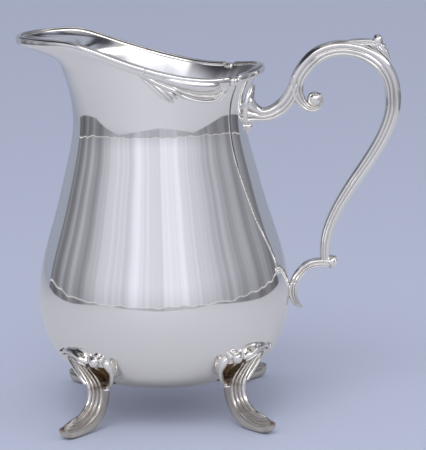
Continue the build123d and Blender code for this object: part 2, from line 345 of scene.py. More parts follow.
profiles = {
    "front": profileOf(frontReach),
    "back": profileOf(backReach),
    "side": profileOf(sideReach, body["sideWaist"]),
}


def reachAt(side, z):
    profile = profiles[side]
    z = np.asarray(z, float)
    s = np.interp(z.ravel(), profile["z"], profile["s"])
    return profile["at"](s)[:, 0].reshape(z.shape)


def spoutShare(angle):
    # 0 round the handle's half of the body, 1 round the spout's half
    return smoothStep(0.5 - np.cos(angle) * 2)


def bodyPoint(angle, z):
    # A point of the body's outer face; angle in radians, the spout at pi
    angle = np.asarray(angle, float)
    z = np.asarray(z, float)
    front = spoutShare(angle)
    reach = reachAt("back", z) * (1 - front) + reachAt("front", z) * front
    return np.stack([reach * np.cos(angle), reachAt("side", z) * np.sin(angle), z], -1)


def sharpRim(x):
    left = np.clip((body["lowX"] - x) / (body["lowX"] - body["shoulder"]), 0, 1)
    fall = (body["spoutRim"] - body["lowRim"]) * left ** body["fallPower"]
    right = np.clip((x - body["lowX"]) / body["backRiseLength"], 0, 2)
    return body["lowRim"] + fall + body["backRise"] * right**2


# The rim line has no corner where the level spout begins to fall
rimX = np.arange(-130, 130, body["rimStep"])
rimReach = np.arange(-body["rimSpread"], body["rimSpread"] + 1) * body["rimStep"]
rimWeights = np.exp(-0.5 * (rimReach / body["rimSoftness"]) ** 2)
rimPadded = np.pad(sharpRim(rimX), body["rimSpread"], mode="edge")
rimZ = np.convolve(rimPadded, rimWeights / rimWeights.sum(), mode="same")
rimZ = rimZ[body["rimSpread"]:-body["rimSpread"]]


def rimHeight(x):
    return np.interp(x, rimX, rimZ)


def rimPoint(angle, drop=0.0):
    angle = np.asarray(angle, float)
    z = np.full(angle.shape, body["lowRim"])
    for _ in range(body["rimRounds"]):
        x = bodyPoint(angle, z)[..., 0]
        z = z + 0.5 * (rimHeight(x) - drop - z)
    return bodyPoint(angle, z)


def softenRim(values, rounds=3):
    # Heights round the rim, each drawn towards its neighbours
    for _ in range(rounds):
        values = 0.25 * np.roll(values, 1) + 0.5 * values + 0.25 * np.roll(values, -1)
    return values


def gridNormals(points):
    # Unit normals of a grid whose columns close into a ring
    along = np.gradient(points, axis=0)
    around = np.roll(points, -1, axis=1) - np.roll(points, 1, axis=1)
    n = np.cross(around, along)
    return n / np.linalg.norm(n, axis=2, keepdims=True).clip(1e-9)


def makeBody():
    columns = body["columns"]
    angles = np.linspace(0, 2 * math.pi, columns, endpoint=False)
    top = softenRim(rimPoint(angles, body["edgeDrop"])[:, 2])
    splitAt = np.interp(body["splitHeight"], profiles["side"]["z"], profiles["side"]["s"])
    front = spoutShare(angles)
    rows = []
    for s in np.linspace(0, splitAt, body["lowerRows"], endpoint=False)[1:]:
        spout, back, side = (profiles[key]["at"](s)[0] for key in ("front", "back", "side"))
        reach = back[0] * (1 - front) + spout[0] * front
        height = np.full(columns, side[1])
        rows.append(np.stack([reach * np.cos(angles), side[0] * np.sin(angles), height], -1))
    for part in np.linspace(0, 1, body["upperRows"]):
        rows.append(bodyPoint(angles, body["splitHeight"] + part * (top - body["splitHeight"])))
    outer = np.array(rows)
    normals = gridNormals(outer)
    normals[0] = (0, 0, -1)
    swell = np.zeros(outer.shape[:2])
    for i in range(outer.shape[0]):
        for j in range(columns):
            place = Vector(outer[i, j])
            broad = noise.noise(Vector([v / size for v, size in zip(place, body["waveLength"])]))
            fine = noise.noise(place / body["fineLength"])
            swell[i, j] = body["wave"] * (broad + body["fineShare"] * fine)
    calm = np.linspace(0, 1, outer.shape[0])[:, None]
    swell *= smoothStep(calm / body["calmBase"]) * smoothStep((1 - calm) / body["calmRim"])
    outer = outer + normals * swell[..., None]
    below = np.clip(outer[-1, :, 2] - outer[..., 2], 0, body["coneDepth"])[..., None]
    inner = outer - normals * (body["wall"] + body["coneSlope"] * below)
    crown = 0.5 * (outer[-1] + inner[-1]) + np.array([0, 0, body["crown"]])
    obj = makeObject("bodyWall", *tubeMesh([*outer, crown, *inner[::-1]]))
    facesOutward(obj)
    obj.data.shade_smooth()
    return obj, len(outer)


bodyObject, outerRows = makeBody()
print("body made")


# Cast border round the mouth: its height, and the seams in degrees from the handle
border = {
    "height": 6.0,
    "spoutSeam": 97.0,
    "scrollEnd": 47.0,
    "backSeam": 39.0,
    "outlinePoints": 57,
    "spoutRows": 260,
    "spoutTaper": 0.12,
    "backRows": 110,
    "backTaper": 0.1,
    "scrollRows": 90,
    # The ends thin out over this many rows
    "taperRows": 3,
    # The moulding: out from the wall, and up
    "section": [
        (-0.3, 2.98),
        (0.5, 2.9),
        (1.2, 2.4),
        (1.66, 1.5),
        (1.8, 0.4),
        (1.72, -0.8),
        (1.4, -1.8),
        (0.9, -2.5),
        (0.2, -2.95),
        (-0.9, -2.9),
        (-1.5, -2.3),
        (-1.55, -0.6),
        (-1.45, 0.8),
        (-1.15, 1.5),
        (-1.3, 2.0),
        (-1.6, 2.3),
        (-1.3, 2.8),
    ],
}


def sweepRim(name, start, end, steps, taper=0.0):
    # The moulding along the rim, from one angle in degrees to another
    angles = np.radians(np.linspace(start, end, steps))
    small = math.radians(0.5)
    drop = border["height"] / 2
    centre = rimPoint(angles, drop)
    ahead = rimPoint(angles + small, drop) - rimPoint(angles - small, drop)
    ahead /= np.linalg.norm(ahead, axis=1, keepdims=True)
    out = np.cross(ahead, (0, 0, 1))
    out /= np.linalg.norm(out, axis=1, keepdims=True)
    up = np.cross(out, ahead)
    outline = sampleCurve(border["section"], border["outlinePoints"], closed=True)[:-1]
    rings = []
    for i in range(steps):
        edge = min(i, steps - 1 - i) / border["taperRows"]
        size = 1 - taper * (1 - min(1, edge)) ** 2
        rings.append(centre[i] + size * (outline[:, :1] * out[i] + outline[:, 1:2] * up[i]))
    obj = makeObject(name, *tubeMesh(rings))
    facesOutward(obj)
    return obj


spoutBorder = sweepRim(
    "spoutBorder",
    border["spoutSeam"],
    360 - border["spoutSeam"],
    border["spoutRows"],
    border["spoutTaper"],
)
backBorder = sweepRim(
    "backBorder",
    -border["backSeam"],
    border["backSeam"],
    border["backRows"],
    border["backTaper"],
)


# How a bead is laid: its mesh, how deep it and a thin one sink in, and how far it reaches below
bead = {
    "columns": 16,
    "rowsPerPoint": 6,
    "freeRows": 40,
    "sink": 0.35,
    "thinSink": 0.2,
    "under": 0.6,
}
slopeStep = 0.3  # between the points that give the slope of a surface


def neckPoint(x, z, side=-1):
    # The body's outer face at x and z on one side, and the way it faces there
    def place(x, z):
        c = np.clip(x / (reachAt("front", z) if x < 0 else reachAt("back", z)), -1, 1)
        return np.array([x, side * float(reachAt("side", z)) * math.sqrt(1 - float(c) ** 2), z])

    here = place(x, np.array(float(z)))
    dx = place(x + slopeStep, np.array(float(z))) - here
    dz = place(x, np.array(z + slopeStep)) - here
    n = np.cross(dx, dz)
    n /= np.linalg.norm(n)
    return here, n if n[1] * side > 0 else -n


def laidBead(points, surface, side=-1, sink=bead["sink"]):
    # Points are x, z, width, height; the bead follows them over the surface
    steps = bead["rowsPerPoint"] * len(points)
    columns = bead["columns"]
    line = sampleCurve(points, steps)
    spots = []
    faces = []
    for x, z, _, _ in line:
        here, n = surface(x, z, side)
        spots.append(here)
        faces.append(n)
    spots = np.array(spots)
    ahead = np.gradient(spots, axis=0)
    rings = []
    for i in range(steps):
        t = ahead[i] / np.linalg.norm(ahead[i])
        n = faces[i]
        across = np.cross(t, n)
        across /= np.linalg.norm(across)
        width = max(0.05, line[i, 2]) / 2
        height = max(0.05, line[i, 3])
        ring = []
        for j in range(columns):
            a = 2 * math.pi * j / columns
            lift = math.sin(a)
            rise = lift * (height if lift > 0 else bead["under"])
            ring.append(spots[i] + across * width * math.cos(a) + n * (rise - sink))
        rings.append(ring)
    return tubeMesh(rings)


# Side scrolls, laid on the neck under the border
sideScroll = {
    "cast": (0.28, 3),
    # x, z, width, height
    "beads": [
        # long crease bead under the border
        [
            (-16, 224.6, 1.2, 0.9), (-11, 221.6, 2.4, 1.6), (-3, 216.9, 3.0, 2.0),
            (5.7, 212.4, 3.2, 2.1), (11, 209.6, 2.8, 1.9), (15, 206.4, 1.6, 1.0),
        ],
        # leaf fingers
        [
            (-12, 221.4, 0.8, 0.6), (-7, 216.4, 2.2, 1.3), (-1, 210.6, 2.7, 1.6),
            (4.2, 206.0, 2.3, 1.4), (7.6, 202.8, 0.8, 0.6),
        ],
        [
            (-8, 219.0, 1.0, 0.7), (-1, 213.2, 2.4, 1.7), (4.6, 208.4, 2.7, 1.9),
            (8.2, 204.6, 2.0, 1.3), (9.4, 202.6, 0.7, 0.5),
        ],
        [
            (-2, 216.2, 1.0, 0.8), (4, 211.4, 2.5, 1.8), (9, 207.4, 2.6, 1.8),
            (11.6, 205.0, 1.6, 1.0),
        ],
        # the long boss
        [
            (-8, 222.4, 1.0, 1.0), (0, 219.2, 3.2, 1.9), (9, 216.2, 5.2, 2.7),
            (18, 213.6, 6.4, 3.2), (27, 212.0, 6.8, 3.3), (34, 211.8, 5.6, 3.0),
            (38.6, 212.6, 2.4, 1.8),
        ],
        # two lines round its lower edge
        [
            (6.4, 214.4, 0.9, 1.2), (14.0, 210.0, 1.6, 2.2), (22, 206.9, 1.8, 2.5),
            (30, 205.5, 1.8, 2.5), (36.6, 206.2, 1.8, 2.5), (40.6, 209.2, 1.8, 2.5),
            (41.0, 213.0, 1.6, 2.1), (39.4, 216, 0.9, 1.2),
        ],
        [
            (10.4, 209.6, 0.9, 1.0), (18, 205.2, 1.8, 1.6), (26, 202.7, 2.0, 1.7),
            (33, 202.2, 1.8, 1.6), (39.0, 204.0, 1.2, 1.1),
        ],
    ],
    # shallow band under the lines
    "band": [
        (11, 208.6, 2.0, 0.7), (19, 207.0, 6.6, 0.9), (28, 206.4, 7.4, 0.9),
        (35, 207.2, 6.6, 0.9), (40, 209.4, 3.0, 0.8),
    ],
    "fill": [
        (-12, 223.2, 1.0, 0.6), (-2, 218.4, 5.0, 1.1), (10, 213.2, 8.0, 1.2),
        (22, 210.6, 9.0, 1.2), (33, 210.4, 8.4, 1.1), (40, 211.4, 4.0, 0.8),
    ],
}


def makeSideScroll(name, side):
    shapes = [laidBead(points, neckPoint, side) for points in sideScroll["beads"]]
    for key in ("band", "fill"):
        shapes.append(laidBead(sideScroll[key], neckPoint, side, bead["thinSink"]))
    start = -border["spoutSeam"] if side < 0 else border["scrollEnd"]
    end = -border["scrollEnd"] if side < 0 else border["spoutSeam"]
    rim = sweepRim("rim", start, end, border["scrollRows"])
    faces = [tuple(face.vertices) for face in rim.data.polygons]
    shapes.append((readMesh(rim.data.vertices, "co", 3) / mm, faces))
    bpy.data.objects.remove(rim)
    obj = makeObject(name, *joinShapes(shapes))
    facesOutward(obj)
    castAsOne(obj, *sideScroll["cast"])
    return obj


scrollNear = makeSideScroll("sideScrollNear", -1)
scrollFar = makeSideScroll("sideScrollFar", 1)
print("border and scrolls made")


# Binders between the scrolls and the back border
knuckle = {
    "angle": 43.0,
    "turnIn": 6.0,
    "drop": 0.6,
    "ball": (3.2, 2.6, 3.1),
    "cheek": (2.8, 1.0, 2.9),
    "cheekPlace": 2.6,
    "cast": (0.24, 3),
    "knot": [
        (38.2, 210.6, 1.6, 1.4), (39.4, 207.6, 3.6, 2.6), (37.6, 204.6, 3.0, 2.2),
        (35.4, 202.6, 1.0, 0.8),
    ],
    "stem": [(41.2, 214.0, 2.6, 1.8), (40.4, 211.6, 3.4, 2.4), (39.2, 208.6, 3.0, 2.2)],
    "knotEdge": [
        (42.6, 210.0, 1.4, 1.2), (42.0, 207.0, 2.0, 1.8), (39.8, 203.8, 1.6, 1.2),
        (37.6, 201.6, 0.8, 0.6),
    ],
}


def ballMesh(centre, radii, columns=28, rows=18, turn=None):
    rings = []
    for i in range(1, rows):
        a = math.pi * i / rows
        ring = []
        for j in range(columns):
            b = 2 * math.pi * j / columns
            unit = (math.sin(a) * math.cos(b), math.sin(a) * math.sin(b), math.cos(a))
            p = Vector([part * radius for part, radius in zip(unit, radii)])
            ring.append(np.array(centre) + np.array(turn @ p if turn else p))
        rings.append(ring)
    return tubeMesh(rings)


def makeKnuckle(name, side):
    angle = side * math.radians(knuckle["angle"])
    centre = rimPoint(np.array([angle]), border["height"] / 2)[0]
    across = Matrix.Rotation(side * math.radians(knuckle["angle"] - knuckle["turnIn"]), 3, "Z")
    shapes = [ballMesh(centre - (0, 0, knuckle["drop"]), knuckle["ball"], turn=across)]
    for offset in (-knuckle["cheekPlace"], knuckle["cheekPlace"]):
        place = centre + np.array(across @ Vector((0, offset, -knuckle["drop"])))
        shapes.append(ballMesh(place, knuckle["cheek"], turn=across))
    shapes += [laidBead(knuckle[key], neckPoint, side) for key in ("knot", "knotEdge", "stem")]
    obj = makeObject(name, *joinShapes(shapes))
    facesOutward(obj)
    castAsOne(obj, *knuckle["cast"])
    return obj


knuckleNear = makeKnuckle("rimKnuckleNear", -1)
knuckleFar = makeKnuckle("rimKnuckleFar", 1)


handle = {
    "halfPoints": 30,
    "rows": {"scroll": 330, "arm": 90, "bracket": 90, "tail": 60},
    # Half a section: along the thickness (1 is the outer edge), and out to the side
    "section": [
        (1.0, 0.0),
        (0.97, 0.28),
        (0.88, 0.55),
        (0.72, 0.76),
        (0.52, 0.9),
        (0.36, 0.92),
        (0.22, 0.84),
        (0.1, 0.82),
        (-0.04, 0.93),
        (-0.17, 1.0),
        (-0.3, 0.94),
        (-0.4, 0.72),
        (-0.5, 0.86),
        (-0.61, 0.93),
        (-0.74, 0.82),
        (-0.85, 0.6),
        (-0.95, 0.32),
        (-1.0, 0.0),
    ],
    # Centre lines: x, z, thickness, depth
    "scroll": [
        (102.6, 90.0, 6.4, 6.6),
        (102.6, 102.0, 6.5, 6.8),
        (105.0, 113.0, 6.9, 7.0),
        (110.6, 125.4, 7.4, 7.4),
        (118.6, 138.2, 8.0, 7.8),
        (128.2, 151.8, 8.4, 8.2),
        (136.7, 164.5, 8.8, 8.6),
        (142.8, 176.0, 9.2, 8.6),
        (146.4, 187.0, 9.6, 8.6),
        (147.1, 197.0, 10.0, 8.6),
        (144.6, 209.0, 10.2, 8.6),
        (137.5, 218.6, 10.6, 8.6),
        (127.0, 225.0, 10.4, 8.6),
        (116.5, 227.2, 10.4, 8.6),
        (106.0, 226.0, 10.4, 8.6),
        (96.8, 221.0, 10.4, 8.6),
        (90.6, 214.0, 10.0, 8.6),
        (86.9, 207.0, 9.6, 8.6),
        (86.8, 200.2, 8.6, 8.6),
        (89.8, 193.6, 6.6, 8.6),
        (95.6, 189.7, 4.2, 8.6),
        (100.6, 191.3, 2.9, 8.4),
        (102.3, 195.8, 1.8, 8.0),
        (101.2, 199.2, 1.2, 7.0),
    ],
    # Balls: centre, radii, columns, rows
    "eye": ((97.7, 0, 195.7), (4.9, 4.7, 4.9), 40, 28),
    "curl": ((106.6, 0, 91.4), (3.3, 4.3, 4.4), 32, 20),
    "arm": [
        (53.0, 190.6, 22.0, 15.0),
        (56.6, 189.2, 18.0, 13.6),
        (59.6, 188.2, 13.0, 11.4),
        (63.4, 187.1, 9.8, 9.6),
        (69.6, 187.6, 9.4, 8.8),
        (75.6, 190.6, 9.8, 8.6),
        (80.2, 194.9, 9.6, 8.6),
        (83.4, 199.9, 9.0, 8.4),
        (85.8, 205.4, 7.8, 7.8),
        (88.4, 210.6, 5.0, 6.4),
    ],
    "bracket": [
        (81.4, 76.4, 5.4, 7.0),
        (83.7, 81.2, 5.8, 7.2),
        (86.5, 85.2, 6.0, 7.0),
        (90.0, 88.6, 6.0, 6.8),
        (94.4, 90.6, 6.2, 6.8),
        (99.4, 91.2, 6.2, 6.8),
        (104.4, 91.0, 5.8, 6.8),
        (108.6, 92.0, 3.4, 6.6),
        (108.8, 94.8, 2.2, 6.0),
    ],
    "tail": [
        (87.0, 62.4, 1.4, 2.6),
        (84.6, 64.6, 3.4, 6.0),
        (82.4, 67.8, 5.2, 8.0),
        (81.2, 72.4, 5.8, 8.6),
        (81.6, 76.8, 5.6, 7.6),
        (82.6, 79.2, 5.0, 7.0),
    ],
}


def ribbedBar(points, steps):
    # An upright bar in the plane of the handle with the ribbed section
    line = sampleCurve(points, steps)
    half = sampleCurve(handle["section"], handle["halfPoints"])
    outline = np.vstack([half, half[-2:0:-1] * (1, -1)])
    ahead = np.gradient(line[:, :2], axis=0)
    rings = []
    for i in range(steps):
        t = ahead[i] / np.linalg.norm(ahead[i])
        out = np.array([t[1], 0, -t[0]])
        centre = np.array([line[i, 0], 0, line[i, 1]])
        ring = centre + outline[:, :1] * out * line[i, 2] / 2
        ring = ring + outline[:, 1:2] * np.array([0, 1, 0]) * line[i, 3] / 2
        rings.append(ring)
    return tubeMesh(rings)


def makeHandle():
    bars = {"scroll": ribbedBar(handle["scroll"], handle["rows"]["scroll"])}
    for key in ("arm", "bracket", "tail"):
        bars[key] = ribbedBar(handle[key][::-1], handle["rows"][key])
    bars["scroll"] = joinShapes([bars["scroll"], ballMesh(*handle["eye"])])
    bars["bracket"] = joinShapes([bars["bracket"], ballMesh(*handle["curl"])])
    parts = {key: makeObject("handle" + key.title(), *shape) for key, shape in bars.items()}
    for part in parts.values():
        facesOutward(part)
    return parts


handleParts = makeHandle()
print("handle made")


# Leaf plate that carries the handle
socket = {
    "cast": (0.3, 3),
    # Balls: centre, radius
    "curls": [
        (55.6, -5.4, 180.4, 2.5), (55.6, 5.4, 180.4, 2.5), (57.4, -3.4, 203.0, 2.2),
        (57.4, 3.4, 203.0, 2.2),
    ],
    "beads": [
        # across, height, width, rise
        [
            (0, 206.4, 5.0, 2.6), (0, 200, 9.0, 4.4), (0, 190, 11.0, 5.0), (0, 182, 7.0, 4.0),
            (0, 177.6, 3.0, 2.4), (0, 174.6, 0.6, 0.6),
        ],
        [
            (-3.2, 206, 1.4, 1.4), (-7.4, 201, 2.6, 2.4), (-9.0, 194, 2.8, 2.4),
            (-8.0, 187, 2.6, 2.2), (-5.0, 181, 2.0, 1.8), (-2.2, 177.4, 1.0, 1.0),
        ],
        [
            (3.2, 206, 1.4, 1.4), (7.4, 201, 2.6, 2.4), (9.0, 194, 2.8, 2.4),
            (8.0, 187, 2.6, 2.2), (5.0, 181, 2.0, 1.8), (2.2, 177.4, 1.0, 1.0),
        ],
        [(0, 203, 12, 1.4), (0, 194, 17, 1.6), (0, 186, 13, 1.4), (0, 180, 6, 1.0)],
    ],
}


def backPoint(y, z, _=None):
    # The back of the neck at y and z, and the way it faces there
    def place(y, z):
        share = y / float(reachAt("side", z))
        return np.array([float(reachAt("back", z)) * math.sqrt(max(0, 1 - share**2)), y, float(z)])

    z = np.array(float(z))
    here = place(y, z)
    n = np.cross(place(y + slopeStep, z) - here, place(y, z + slopeStep) - here)
    n /= np.linalg.norm(n)
    return here, n if n[0] > 0 else -n


def makeSocket():
    shapes = [laidBead(points, backPoint) for points in socket["beads"]]
    shapes += [ballMesh((x, y, z), (r, r, r)) for x, y, z, r in socket["curls"]]
    obj = makeObject("handleSocket", *joinShapes(shapes))
    facesOutward(obj)
    castAsOne(obj, *socket["cast"])
    return obj


socketObject = makeSocket()


# Thumb rest: a curled leaf with a bud
thumb = {
    "rows": 60,
    "cast": (0.22, 3),
    # x, z, thickness, depth
    "spine": [
        (118.0, 231.0, 2.4, 4.6), (124.5, 231.0, 4.4, 7.0), (131.0, 230.8, 4.6, 6.6),
        (136.4, 229.6, 4.8, 6.2), (140.6, 226.0, 4.6, 5.8), (144.0, 221.4, 3.0, 4.4),
        (145.4, 218.6, 1.2, 2.6),
    ],
    # Centre, radii
    "balls": [
        ((137.8, 0, 231.0), (3.3, 3.2, 4.6)),
        ((136.0, 0, 229.0), (4.2, 3.4, 1.5)),
        ((140.8, 0, 228.0), (2.2, 2.8, 1.7)),
        ((142.8, 0, 224.8), (1.8, 2.6, 1.4)),
    ],
}


def makeThumbRest():
    shapes = [ribbedBar(thumb["spine"][::-1], thumb["rows"])]
    shapes += [ballMesh(*ball) for ball in thumb["balls"]]
    obj = makeObject("thumbRest", *joinShapes(shapes))
    facesOutward(obj)
    castAsOne(obj, *thumb["cast"])
    return obj


thumbObject = makeThumbRest()
print("plate and thumb rest made")


foot = {
    "turns": (-50, 50, 130, 230),
    # Edges of the leg at its place on +X, from the belly to the toe: x, z
    "inner": [
        (58.6, 44.0), (57.5, 36), (57.4, 27), (58.2, 19), (61.2, 12.0), (66.6, 5.2), (73, 1.7),
        (80, 0.3), (90, 0.16), (97.5, 1.6), (101.5, 5.4),
    ],
    "side": [
        (78.6, 45.0), (73, 38), (68, 29), (67, 21), (69.6, 14), (75.8, 9.0), (86, 5.8),
        (96, 5.9), (102.4, 8.3),
    ],
    "middle": [
        (80.6, 45.4), (75.8, 37.4), (71.8, 29.4), (71.2, 22), (73.8, 16), (79.8, 11.2),
        (88, 8.8), (97.0, 9.2),
    ],
    "crest": [
        (82.6, 45.8), (79.0, 38), (75.8, 30), (75.0, 24.6), (76.4, 19.8), (80, 15.2),
        (85.4, 12.6), (91, 12.6),
    ],
    # Half a section: how far round it is (inner edge 0, side 1, middle 2, crest 3), and
    # out to the side
    "section": [
        (0.0, 0.0),
        (0.02, 1.9),
        (0.12, 3.3),
        (0.4, 4.0),
        (0.75, 4.0),
        (0.98, 3.5),
        (1.1, 2.5),
        (1.3, 3.15),
        (1.5, 3.2),
        (1.66, 2.7),
        (1.76, 1.9),
        (1.95, 2.5),
        (2.1, 2.5),
        (2.24, 2.0),
        (2.32, 1.3),
        (2.5, 1.7),
        (2.68, 1.6),
        (2.78, 1.0),
        (2.86, 0.55),
        (3.0, 0.0),
    ],
    # Above the start the ridges sweep sideways into the wing, and back towards the belly
    "sweep": {
        "start": 27.0,
        "rise": 19.0,
        "side": 16.0,
        "sidePower": 1.5,
        "back": 8.0,
        "backPower": 1.3,
    },
    "toeRows": 9,
    "toeClose": 0.985,
    "halfPoints": 60,
    "rows": 90,
}


def makeLeg(hand):
    # hand is 1 or -1, the side that the ridges sweep to
    rows = foot["rows"]
    edges = [sampleCurve(foot[key], rows) for key in ("inner", "side", "middle", "crest")]
    half = sampleCurve(foot["section"], foot["halfPoints"])
    sweep = foot["sweep"]
    rings = []
    for i in range(rows):
        ring = []
        for where, out in half:
            k = min(2, int(max(0, where)))
            f = min(1, max(0, where - k))
            p = edges[k][i] * (1 - f) + edges[k + 1][i] * f
            ring.append((p[0], out, p[1]))
        ring += [(x, -y, z) for x, y, z in ring[-2:0:-1]]
        ring = np.array(ring)
        # The toe closes as a dome
        last = max(0, i - (rows - 1 - foot["toeRows"])) / foot["toeRows"]
        centre = ring.mean(0)
        ring = centre + (ring - centre) * math.sqrt(1 - (foot["toeClose"] * last) ** 2)
        lift = np.clip((ring[:, 2] - sweep["start"]) / sweep["rise"], 0, 2)
        ring[:, 0] -= sweep["back"] * lift ** sweep["backPower"]
        ring[:, 1] += hand * sweep["side"] * lift ** sweep["sidePower"]
        rings.append(ring)
    return tubeMesh(rings)


def bellyPoint(y, z, _=None):
    # The belly in front of a foot that stands at +X
    z = np.array(float(z))
    r = float(reachAt("side", z))
    here = np.array([math.sqrt(r * r - y * y), y, float(z)])
    above = float(reachAt("side", z + slopeStep)) - r
    n = np.array([here[0] / r, y / r, -above / slopeStep])
    return here, n / np.linalg.norm(n)


plate = {
    "cast": (0.26, 2),
    # On the belly: across (the wing's side is positive), height, width, rise
    "beads": [
        [
            (-5.6, 33, 3.0, 1.6), (-5.2, 39, 3.2, 2.0), (-2.4, 43.6, 3.4, 3.0),
            (-1.2, 47.4, 2.6, 2.8), (-2.6, 49.6, 1.6, 1.8),
        ],
        [
            (25.4, 46.6, 2.6, 2.2), (20.4, 48.6, 3.2, 2.8), (13.6, 49.9, 3.8, 4.0),
            (7.4, 49.6, 4.2, 5.2), (2.8, 47.6, 4.0, 5.6), (-0.4, 45.0, 2.4, 4.0),
        ],
        [
            (24.0, 44.8, 1.8, 1.6), (18.4, 46.2, 2.2, 2.8), (11.8, 47.0, 2.4, 4.4),
            (5.6, 45.6, 2.4, 5.2), (2.2, 43.4, 1.6, 4.0),
        ],
    ],
    "field": [
        (-2, 27, 6, 1.0), (-2, 32, 11, 1.2), (-2.5, 38, 13, 1.3), (-2.0, 43, 12, 1.4),
        (0, 47.4, 9, 1.4),
    ],
    "wing": [(22, 46.2, 2.4, 1.4), (16, 45.4, 6.4, 2.4), (9, 44.6, 8.6, 3.2), (3, 42.8, 9.0, 3.0)],
    # Off the belly: across, height, reach from the axis, width, rise
    "strip": [
        (-8.2, 46.4, 71.0, 2.2, 2.0), (-11.6, 44.8, 71.4, 4.6, 4.4),
        (-13.2, 41.4, 70.0, 5.0, 4.8), (-13.0, 37.4, 67.6, 3.8, 4.0),
        (-11.2, 33.2, 65.6, 3.2, 3.6), (-8.0, 29.2, 63.6, 3.0, 3.4),
        (-4.6, 26.6, 62.6, 2.8, 3.2),
    ],
    "ribs": [
        [
            (0.6, 30.5, 76.6, 2.2, 2.4), (3.4, 34.2, 76.8, 2.6, 2.8),
            (8.4, 38.4, 76.0, 2.8, 3.0), (13.6, 41.8, 74.2, 2.6, 2.8),
            (18.4, 44.0, 71.6, 1.8, 2.0),
        ],
        [
            (0.4, 28.6, 73.4, 2.2, 2.4), (4.2, 33.2, 74.2, 2.6, 2.8),
            (9.2, 36.8, 73.0, 2.6, 2.8), (14.2, 39.8, 71.2, 2.2, 2.4),
            (18.6, 41.8, 69.0, 1.6, 1.8),
        ],
        [
            (-0.4, 27.6, 70.4, 2.0, 2.2), (4.4, 31.6, 71.2, 2.4, 2.6),
            (9.4, 34.8, 69.8, 2.4, 2.6), (14.2, 37.4, 67.6, 1.8, 2.0),
        ],
    ],
    # Centre, radii
    "balls": [((75.4, -6.0, 45.4), (3.4, 3.4, 3.7)), ((74.0, -10.4, 46.8), (2.0, 1.8, 2.1))],
    "collar": ((62.6, -1.6, 25.0), (3.4, 4.8, 1.5)),
    # Across, height, radius, and how far its centre stands off the belly
    "tip": (25.8, 46.6, 2.1, 0.8),
    # Brown hollow between the strip and the leg
    "hollow": {
        "across": (-11.0, 3.0),
        "height": (26.0, 41.0),
        "proud": 2.6,
        "fade": 0.8,
        "shade": 0.62,
    },
}


def freeBead(points):
    # A bead off the belly: across, height, reach, width, rise
    steps = bead["freeRows"]
    columns = bead["columns"]
    line = sampleCurve(points, steps)
    spots = np.stack([line[:, 2], line[:, 0], line[:, 1]], -1)
    ahead = np.gradient(spots, axis=0)
    rings = []
    for i in range(steps):
        t = ahead[i] / np.linalg.norm(ahead[i])
        out = np.array([1.0, 0, 0]) - t * t[0]
        out /= np.linalg.norm(out)
        across = np.cross(t, out)
        a = np.linspace(0, 2 * math.pi, columns, endpoint=False)[:, None]
        width = max(0.1, line[i, 3]) / 2
        height = max(0.1, line[i, 4]) / 2
        rings.append(spots[i] + across * width * np.cos(a) + out * height * np.sin(a))
    return tubeMesh(rings)


def makeFoot(number, turn):
    # The wings point to the spout and to the handle
    hand = 1 if math.sin(math.radians(2 * turn)) < 0 else -1
    leg = makeObject(f"footLeg{number}", *makeLeg(hand))
    facesOutward(leg)

    def handed(points):
        return [(across * hand, *rest) for across, *rest in points]

    shapes = [laidBead(handed(plate[key]), bellyPoint) for key in ("field", "wing")]
    shapes += [laidBead(handed(points), bellyPoint) for points in plate["beads"]]
    shapes.append(freeBead(handed(plate["strip"])))
    shapes += [freeBead(handed(points)) for points in plate["ribs"]]
    for (x, y, z), radii in plate["balls"] + [plate["collar"]]:
        shapes.append(ballMesh((x, y * hand, z), radii))
    across, height, radius, proud = plate["tip"]
    here, n = bellyPoint(across * hand, height)
    shapes.append(ballMesh(here + n * proud, (radius,) * 3))
    wings = makeObject(f"footPlate{number}", *joinShapes(shapes))
    facesOutward(wings)
    castAsOne(wings, *plate["cast"])
    hollow = plate["hollow"]
    x, y, z = readMesh(wings.data.vertices, "co", 3).T / mm
    left, right = hollow["across"]
    low, high = hollow["height"]
    inside = (y * hand > left) & (y * hand < right) & (z > low) & (z < high)
    proud = np.hypot(x, y) - reachAt("side", z)
    shade = hollow["shade"] * smoothStep((hollow["proud"] - proud) / hollow["fade"])
    writeMask(wings.data, "stain", inside * shade)
    spin = Matrix.Rotation(math.radians(turn), 4, "Z")
    for obj in (leg, wings):
        obj.data.transform(spin)
    return leg, wings


feet = [makeFoot(number, turn) for number, turn in enumerate(foot["turns"], start=1)]
print("feet made")


silver = {
    "plate": (0.90, 0.89, 0.87, 1),
    "tarnish": (0.16, 0.10, 0.045, 1),
    "haze": (0.80, 0.76, 0.68, 1),
    # Scale and detail of the haze and of the fine spots
    "clouds": (28, 5),
    "spots": (420, 4),
    # How the haze mottles the tarnish: its share, and what stays everywhere
    "mottle": (0.9, 0.55),
    # Fine scratches: their two directions, how narrow and long they run, and how few show
    "scratchTurns": (0.5, -0.9),
    "scratchScale": (1900, 1900, 60),
    "scratchLimit": 0.68,
    # What haze, tarnish and scratches add to the roughness
    "roughness": (0.03, 0.3, 0.12),
    # Surface: depth of scratches and spots, then strength and distance of the bump
    "relief": (-0.4, 0.5),
    "bump": (0.25, 0.00002),
}
# Tarnish in the hollows, haze, roughness, scratches
finishes = {
    "polishedSheet": (0.3, 0.12, 0.035, 0.25),
    "insideSheet": (0.3, 0.3, 0.12, 0.2),
    "castSilver": (1.0, 0.25, 0.07, 0.3),
    "footSilver": (1.5, 0.3, 0.08, 0.3),
}


def nodeMath(tree, kind, *values):
    node = tree.nodes.new("ShaderNodeMath")
    node.operation = kind
    for socket, value in zip(node.inputs, values):
        if isinstance(value, (int, float)):
            socket.default_value = value
        else:
            tree.links.new(value, socket)
    return node.outputs[0]


